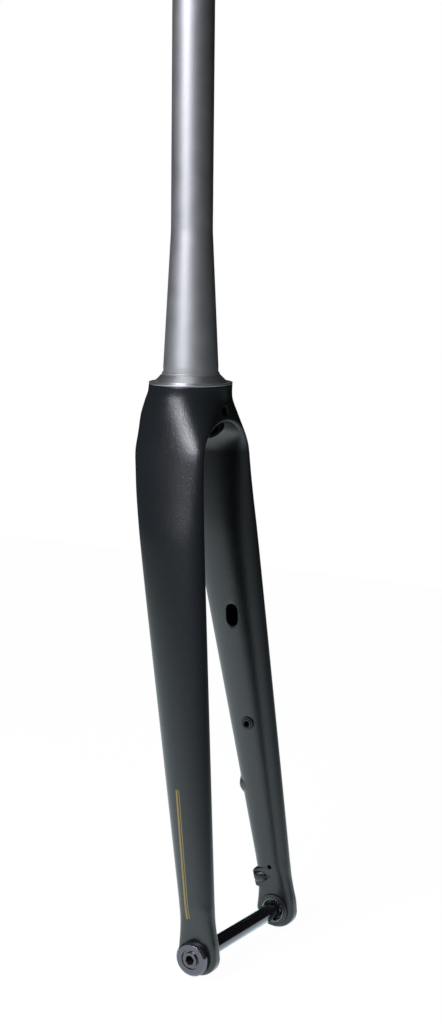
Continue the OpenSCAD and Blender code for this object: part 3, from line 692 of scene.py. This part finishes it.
def rounded(corners, steps=5):
    """Outline through (radius, distance, rounding) corners. A rounding above 0 turns the corner into an
    arc, with one point more on each flat beside it so that the shading of the flats stays level."""
    outline = []
    count = len(corners)
    for i, (r, z, rounding) in enumerate(corners):
        here = np.array([r, z], float)
        if rounding == 0:
            outline.append(here)
            continue
        to_last = np.array(corners[i - 1][:2], float) - here
        to_next = np.array(corners[(i + 1) % count][:2], float) - here
        a = to_last / np.linalg.norm(to_last)
        b = to_next / np.linalg.norm(to_next)
        half = math.acos(float(np.clip(a @ b, -1, 1))) / 2
        reach = rounding / math.tan(half)
        centre = here + (a + b) / np.linalg.norm(a + b) * rounding / math.sin(half)
        start, end = here + a * reach - centre, here + b * reach - centre
        outline.append(here + a * reach * 1.15)
        turn = math.pi - 2 * half
        for t in np.linspace(0, 1, steps + 1):
            spoke = start * math.sin((1 - t) * turn) + end * math.sin(t * turn)
            outline.append(centre + spoke / math.sin(turn))
        outline.append(here + b * reach * 1.15)
    return outline


def ring(corners, origin, axis, steps=128):
    """A turned ring or tube: a closed outline of corners carried round an axis."""
    outline = rounded(corners)
    return turned(outline + outline[:1], origin, axis, steps)


tube_corners = [
    (neck_r, -socket_depth, 0.4), (foot_r, -socket_depth, 0.3), (foot_r, 0, 0), (RACE_SEAT_R, 0, 0),
    (RACE_SEAT_R, 8, 0.5),
    (foot_r, 8, 0), (foot_r, 12, 6), (steerer_r, taper_top, 60), (steerer_r, steerer_len, 0.5),
    (bore_r, steerer_len, 0.4), (bore_r, taper_top + 8, 20), (neck_r, 12, 10),
]
steerer = build("steerer_tube", [ring(tube_corners, (0, 0, 0), (0, 0, 1))])

# Blasted aluminium: grey, matt, and lightly sparkling from the grit's pits of about 0.3 mm
blasted, tree, shader, place = new_material("blasted_aluminium")
shader.inputs["Metallic"].default_value = 1.0
pits = add(tree, "TexNoise", {"Vector": place, "Scale": 3000.0, "Detail": 3.0, "Roughness": 0.65})
cloud = add(tree, "TexNoise", {"Vector": place, "Scale": 60.0, "Detail": 4.0})
grey = add(tree, "Mix", {0: cloud.outputs["Fac"], 6: linear("#a9aaac"), 7: linear("#c2c2c2")},
           data_type="RGBA")
speckle = add(tree, "MapRange", {"Value": pits.outputs["Fac"], "From Min": 0.35, "From Max": 0.65,
                                 "To Min": 0.86, "To Max": 1.08})
grained = add(tree, "VectorMath", {0: grey.outputs[2], 1: speckle.outputs[0]}, operation="MULTIPLY")
# A faint smudge of blue workshop ink on the front, about 5 mm across and broken by the grain
INK_PLACE = (0.0065, -0.0127, 0.2435)
offset = add(tree, "VectorMath", {0: place, 1: INK_PLACE}, operation="SUBTRACT")
stretched = add(tree, "VectorMath", {0: offset.outputs[0], 1: (1.0, 1.0, 0.55)}, operation="MULTIPLY")
distance = add(tree, "VectorMath", {0: stretched.outputs[0]}, operation="LENGTH")
blur = add(tree, "TexNoise", {"Vector": place, "Scale": 500.0, "Detail": 3.0})
wobble = add(tree, "Math", {0: blur.outputs["Fac"], 1: 0.0030, 2: distance.outputs["Value"]},
             operation="MULTIPLY_ADD")
stain = add(tree, "MapRange", {"Value": wobble.outputs[0], "From Min": 0.0046, "From Max": 0.0030,
                               "To Min": 0.0, "To Max": 0.75})
inked = add(tree, "Mix", {0: stain.outputs[0], 6: grained.outputs[0], 7: linear("#3f6688")}, data_type="RGBA")
tree.links.new(inked.outputs[2], shader.inputs["Base Color"])
dull = add(tree, "MapRange", {"Value": cloud.outputs["Fac"], "To Min": 0.50, "To Max": 0.60})
tree.links.new(dull.outputs[0], shader.inputs["Roughness"])
pitted = add(tree, "Bump", {"Height": pits.outputs["Fac"], "Strength": 0.25, "Distance": 0.0001})
tree.links.new(pitted.outputs[0], shader.inputs["Normal"])
dressed(steerer, blasted, "steerer", "steerer")

# Crown race
# Turned aluminium ring pressed on the steerer's foot. Its flange covers the crown's top and its
# 45 degree cone carries the lower bearing.
race_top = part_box("crown_race")[1].z / MM
race_bore_r = RACE_SEAT_R + GLUE_GAP
CONE_R = 24.6
cone_foot = 2.1
race_corners = [
    (race_bore_r, 0, 0.2), (crown_r, 0, 0.3), (crown_r, 1.2, 0.35), (CONE_R, 1.2, 0.1),
    (CONE_R, cone_foot, 0.2),
    (CONE_R - race_top + cone_foot, race_top, 0.25), (race_bore_r, race_top, 0.2),
]
race = build("crown_race_ring", [ring(race_corners, (0, 0, 0), (0, 0, 1))])

# Turned aluminium: bright, with fine rings left by the tool, 0.25 mm apart
turned_alloy, tree, shader, place = new_material("turned_aluminium")
shader.inputs["Metallic"].default_value = 1.0
shader.inputs["Base Color"].default_value = linear("#c9cbce")
split = add(tree, "SeparateXYZ", {0: place})
flat_xy = add(tree, "CombineXYZ", {"X": split.outputs["X"], "Y": split.outputs["Y"]})
from_axis = add(tree, "VectorMath", {0: flat_xy.outputs[0]}, operation="LENGTH")
pass_count = add(tree, "Math", {0: from_axis.outputs["Value"], 1: split.outputs["Z"]}, operation="ADD")
tool_marks = add(tree, "Math", {0: pass_count.outputs[0], 1: 2 * math.pi / 0.00025}, operation="MULTIPLY")
wave = add(tree, "Math", {0: tool_marks.outputs[0]}, operation="SINE")
rings = add(tree, "Bump", {"Height": wave.outputs[0], "Strength": 0.05, "Distance": 0.0001})
tree.links.new(rings.outputs[0], shader.inputs["Normal"])
tarnish = add(tree, "TexNoise", {"Vector": place, "Scale": 220.0, "Detail": 3.0})
shine = add(tree, "MapRange", {"Value": tarnish.outputs["Fac"], "To Min": 0.32, "To Max": 0.46})
tree.links.new(shine.outputs[0], shader.inputs["Roughness"])
dressed(race, turned_alloy, "race", "crown_race")

# Star nut
# A threaded core that holds two dished spring washers, driven into the steerer for the top cap's
# bolt. Pressed and turned from steel with a thin zinc plate.
nut_low, nut_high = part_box("star_nut_core")
nut_top, nut_foot, nut_r = nut_high.z / MM, nut_low.z / MM, nut_high.x / MM


def screw_wall(radius, pitch, start, end, depth, origin, axis, steps=48, per_turn=8):
    """Wall of a screw thread: its radius changes by a triangle wave of the distance less the turn angle,
    and the wave fades over the first and last half pitch. A bore has a depth above 0, a shaft below."""
    along = np.linspace(start, end, int((end - start) / pitch * per_turn) + 1)[:, None]
    turn = np.linspace(0, 2 * np.pi, steps, endpoint=False)[None, :]
    phase = (along / pitch - turn / (2 * np.pi)) % 1
    fade = np.clip(np.minimum(along - start, end - along) / (pitch / 2), 0, 1)
    r = radius + depth * fade * (1 - np.abs(2 * phase - 1))
    return round_axis(r, along + 0 * r, origin, axis), True


def screwed_bush(name, outside, bore, pitch, depth, start, end, rim, origin, axis):
    """A turned bush with a real thread in its bore. outside lists its corners from the lower end of the
    bore round to the upper end; the thread's wall closes it."""
    lower_rim = [(bore, start + rim, 0), (bore + rim, start, 0)]
    upper_rim = [(bore + rim, end, 0), (bore, end - rim, 0)]
    shell = rounded([*lower_rim, *outside, *upper_rim])
    wall_points = screw_wall(bore, pitch, start + rim, end - rim, depth, origin, axis)
    return build(name, [turned(shell, origin, axis, 48), wall_points], sharp=50)


core = screwed_bush("star_nut_barrel", [(nut_r, nut_foot, 0.3), (nut_r, nut_top, 0.3)], 2.5, 1.0, 0.45,
                    nut_foot, nut_top, 0.4, (0, 0, 0), (0, 0, 1))
zinc, tree, shader, place = new_material("zinc_plated_steel")
shader.inputs["Metallic"].default_value = 1.0
grains = add(tree, "TexVoronoi", {"Vector": place, "Scale": 900.0})
bloom = add(tree, "Mix", {0: grains.outputs["Distance"], 6: linear("#b9bab6"), 7: linear("#9c9e9f")},
            data_type="RGBA")
tree.links.new(bloom.outputs[2], shader.inputs["Base Color"])
shader.inputs["Roughness"].default_value = 0.34
dressed(core, zinc, "star_nut", "star_nut_core")
for name in ("star_washer_upper", "star_washer_lower"):
    nodes[name].data.materials.clear()
    nodes[name].data.materials.append(zinc)

# Bushes of the crown and the hose clip
# Turned aluminium bushes, anodised black and bonded in the moulding. The clip's bush has a flange
# and a collar that stand on the blade's inner face.
black_alloy, tree, shader, place = new_material("black_anodised_aluminium")
shader.inputs["Metallic"].default_value = 0.6
shader.inputs["Base Color"].default_value = linear("#26282b")
film = add(tree, "TexNoise", {"Vector": place, "Scale": 700.0, "Detail": 2.0})
matt = add(tree, "MapRange", {"Value": film.outputs["Fac"], "To Min": 0.26, "To Max": 0.38})
tree.links.new(matt.outputs[0], shader.inputs["Roughness"])

for name, s in (("crown_sleeve_front", -1), ("crown_sleeve_rear", 1)):
    low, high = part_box(name)
    outer_end = max(abs(low.y), abs(high.y)) / MM
    sleeve_corners = [(3.1, 17.2, 0.45), (SLEEVE_R, 17.2, 0.2), (SLEEVE_R, outer_end, 0.2),
                      (3.1, outer_end, 0.45)]
    sleeve = build(name + "_bush", [ring(sleeve_corners, (0, 0, -sleeve_drop), (0, s, 0), 64)])
    dressed(sleeve, black_alloy, "insert_black", name)

# M5 thread: bore at the crests, pitch and depth
M5_BORE, M5_PITCH, M5_DEPTH = 2.1, 0.8, 0.35
THREAD_RIM = 0.4
clip_corners = [(CLIP_BUSH_R, -9, 0.2), (CLIP_BUSH_R, 0, 0), (4.9, 0, 0.1), (4.9, 0.9, 0.3), (3.5, 0.9, 0.1),
                (3.5, 1.5, 0.25)]
clip_bush = screwed_bush("hose_clip_bush", clip_corners, M5_BORE, M5_PITCH, M5_DEPTH, -9, 1.5, THREAD_RIM,
                         clip_point, clip_axis)
dressed(clip_bush, black_alloy, "insert_black", "hose_clip_insert")

# Bushes of the brake bolts
# Bright aluminium bushes with an M5 thread, bonded in the two pads behind the left blade.
bright_alloy, tree, shader, place = new_material("machined_aluminium")
shader.inputs["Metallic"].default_value = 1.0
shader.inputs["Base Color"].default_value = linear("#c4c6c9")
smear = add(tree, "TexNoise", {"Vector": place, "Scale": 450.0, "Detail": 3.0})
cut_shine = add(tree, "MapRange", {"Value": smear.outputs["Fac"], "To Min": 0.2, "To Max": 0.36})
tree.links.new(cut_shine.outputs[0], shader.inputs["Roughness"])
for name, point in zip(("brake_insert_upper", "brake_insert_lower"), brake_points):
    bush_corners = [(BRAKE_BUSH_R, -10, 0.2), (BRAKE_BUSH_R, 0, 0.2)]
    bush = screwed_bush(name + "_bush", bush_corners, M5_BORE, M5_PITCH, M5_DEPTH, -10, 0, THREAD_RIM,
                        point, brake_axis)
    dressed(bush, bright_alloy, "insert_bright", name)

# Axle inserts
# Aluminium bushes bonded in the tips and anodised black. Each is recessed round the axle and has a
# raised rim for the hub's end cap, and the left one takes the axle's thread.
EDGE_IN_R, EDGE_OUT_R = 7.9, 8.5
worn_black, tree, shader, place = new_material("worn_black_anodised_aluminium")
split = add(tree, "SeparateXYZ", {0: place})
in_plane = add(tree, "CombineXYZ", {"Y": split.outputs["Y"], "Z": split.outputs["Z"]})
from_axle = add(tree, "VectorMath", {0: in_plane.outputs[0], 1: (0, axle_place[1] * MM, axle_place[2] * MM)},
                operation="DISTANCE")
scrapes = add(tree, "TexNoise", {"Vector": place, "Scale": 900.0, "Detail": 3.0})
# The mounting of wheels has rubbed the black off the edge of the recess
rubbed = add(tree, "Math", {0: scrapes.outputs["Fac"], 1: 0.0003, 2: from_axle.outputs["Value"]},
             operation="MULTIPLY_ADD")
rubbed_band = within(tree, rubbed.outputs[0], ((EDGE_IN_R + EDGE_OUT_R) / 2 + 0.15) * MM, 0.0004, 0.00008)
inward = add(tree, "Math", {0: split.outputs["X"]}, operation="ABSOLUTE")
at_mouth = add(tree, "Math", {0: inward.outputs[0], 1: (hub_side - 0.3) * MM}, operation="LESS_THAN")
bare = add(tree, "Math", {0: rubbed_band, 1: at_mouth.outputs[0]}, operation="MULTIPLY").outputs[0]
bare_tone = add(tree, "Mix", {0: bare, 6: linear("#24282a"), 7: linear("#d0d2d4")}, data_type="RGBA")
tree.links.new(bare_tone.outputs[2], shader.inputs["Base Color"])
tree.links.new(bare, shader.inputs["Metallic"])
dulled = add(tree, "MapRange", {"Value": scrapes.outputs["Fac"], "To Min": 0.3, "To Max": 0.45})
tree.links.new(dulled.outputs[0], shader.inputs["Roughness"])
for name, s in (("left_axle_insert", 1), ("right_axle_insert", -1)):
    seat_corners = [
        (6.05, hub_side + 2.5, 0.2), (EDGE_IN_R, hub_side + 2.5, 0.2), (EDGE_IN_R, hub_side - 0.7, 0),
        (EDGE_OUT_R, hub_side - 1.3, 0), (FLANGE_R, hub_side - 1.3, 0.35), (FLANGE_R, hub_side + 1.5, 0.1),
        (BARREL_R, hub_side + 1.5, 0.1), (BARREL_R, tip_out, 0.15), (6.05, tip_out, 0.3),
    ]
    seat = build(name + "_seat", [ring(seat_corners, axle_place, (s, 0, 0))])
    dressed(seat, worn_black, "insert_black", name)

# Through axle
# Turned from an aluminium bar, bored out, polished and anodised black. The right end has a round head
# with a grooved face, a boss and a key socket; the left end has an M12 thread with a 1.5 mm pitch.
head_low, head_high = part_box("thru_axle")
axle_tail = head_high.x / MM
HEAD_R = 12.2
HEAD_BEVEL = 1.5
boss_face = -head_low.x / MM - 1.2
head_face = boss_face - 0.8
head_seat = tip_out + 1
AXLE_R = 6
AXLE_BORE_R = 3.2
BORE_END = 54.7
TAIL_BEVEL = 1
tail = [(0, BORE_END), (AXLE_BORE_R, BORE_END), (AXLE_BORE_R, -axle_tail), (AXLE_R - TAIL_BEVEL, -axle_tail),
        (AXLE_R, TAIL_BEVEL - axle_tail)]
M12_PITCH = 1.5
tail_thread = screw_wall(AXLE_R, M12_PITCH, TAIL_BEVEL - axle_tail, 1 - hub_side, -0.8, axle_place,
                         (-1, 0, 0), steps=96, per_turn=10)
head = rounded([
    (AXLE_R, 1 - hub_side, 0), (AXLE_R, head_seat, 0.1), (HEAD_R, head_seat, 0.4),
    (HEAD_R, head_face - HEAD_BEVEL, 0.9), (HEAD_R - HEAD_BEVEL, head_face, 0.7), (6.9, head_face, 0.25),
    (6.7, head_face - 1.2, 0.15), (5.5, head_face - 1.2, 0.15), (5.5, boss_face, 0.4), (0, boss_face, 0),
])
axle = build("through_axle", [turned(tail, axle_place, (-1, 0, 0)), tail_thread,
                              turned(head, axle_place, (-1, 0, 0))], sharp=40)
# Key socket: 6 mm across the flats and 8 mm deep, with a small lead-in
KEY_FLATS, KEY_DEPTH = 6, 8
key_r = KEY_FLATS / 2 / math.cos(math.pi / 6)
socket = [(0, boss_face - KEY_DEPTH), (key_r, boss_face - KEY_DEPTH), (key_r, boss_face - 0.4),
          (key_r + 0.4, boss_face), (key_r + 0.4, boss_face + 2), (0, boss_face + 2)]
cut_through(axle, "key_socket", [turned(socket, axle_place, (-1, 0, 0), 6)])
axle.data.shade_smooth()
axle.data.set_sharp_from_angle(angle=math.radians(40))

# Polished black anodising: a dark, clear oxide film over bright metal, so lights show sharp in it. The
# head's flat face is satin, from the fine facing cut.
black_polish, tree, shader, place = new_material("polished_black_anodised_aluminium")
facing = add(tree, "SeparateXYZ", {0: place})
on_face = add(tree, "MapRange", {"Value": facing.outputs["X"], "From Min": (0.15 - head_face) * MM,
                                 "From Max": (0.05 - head_face) * MM, "To Min": 0.0, "To Max": 1.0})
shader.inputs["Base Color"].default_value = linear("#5e5c62")
shader.inputs["Metallic"].default_value = 0.85
handling = add(tree, "TexNoise", {"Vector": place, "Scale": 300.0, "Detail": 4.0})
gloss = add(tree, "MapRange", {"Value": handling.outputs["Fac"], "To Min": 0.05, "To Max": 0.12})
satin = add(tree, "Mix", {0: on_face.outputs[0], 2: gloss.outputs[0], 3: 0.45})
tree.links.new(satin.outputs[0], shader.inputs["Roughness"])
dressed(axle, black_polish, "axle", "thru_axle")

# Axle washer
# Bright steel washer that keeps the turning head off the tip's paint.
washer = build("axle_washer_ring", [ring([(6.15, tip_out, 0.1), (11.4, tip_out, 0.1), (11.4, head_seat, 0.3),
                                          (6.15, head_seat, 0.1)], axle_place, (-1, 0, 0))])
bright_steel, tree, shader, place = new_material("bright_steel")
shader.inputs["Metallic"].default_value = 1.0
shader.inputs["Base Color"].default_value = linear("#d0d1d2")
scuff = add(tree, "TexNoise", {"Vector": place, "Scale": 600.0, "Detail": 4.0})
worn = add(tree, "MapRange", {"Value": scuff.outputs["Fac"], "To Min": 0.15, "To Max": 0.35})
tree.links.new(worn.outputs[0], shader.inputs["Roughness"])
dressed(washer, bright_steel, "washer", "axle_washer")
